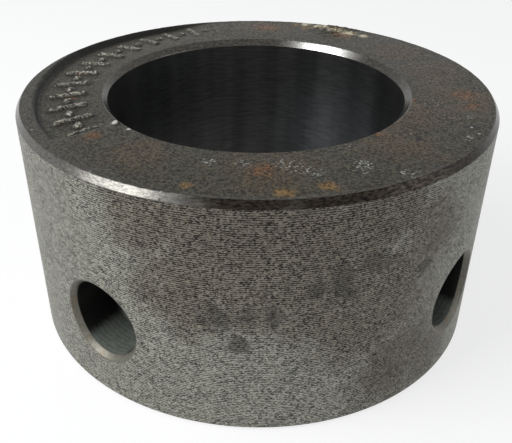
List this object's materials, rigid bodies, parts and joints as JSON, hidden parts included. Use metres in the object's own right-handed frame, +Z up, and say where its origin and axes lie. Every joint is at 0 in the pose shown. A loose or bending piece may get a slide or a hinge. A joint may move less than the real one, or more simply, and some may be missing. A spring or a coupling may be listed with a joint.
{
  "type": "taper bush",
  "caption": "Forged steel bush with a slightly tapered outside, a straight machined bore and blind countersunk pin holes round its side.",
  "frame": {"origin": "middle of the small end's face, on the bore's axis", "axes": "+Z up the bore from the small end to the large end, +X through the middle of a pin hole"},
  "size_m": [0.0794, 0.0794, 0.0392],
  "materials": {
    "steel": "turned steel on the cone, bore and chamfers, rough forging scale with rust on the large end"
  },
  "bodies": {
    "root": {"taper_bush": "steel"}
  },
  "joints": []
}
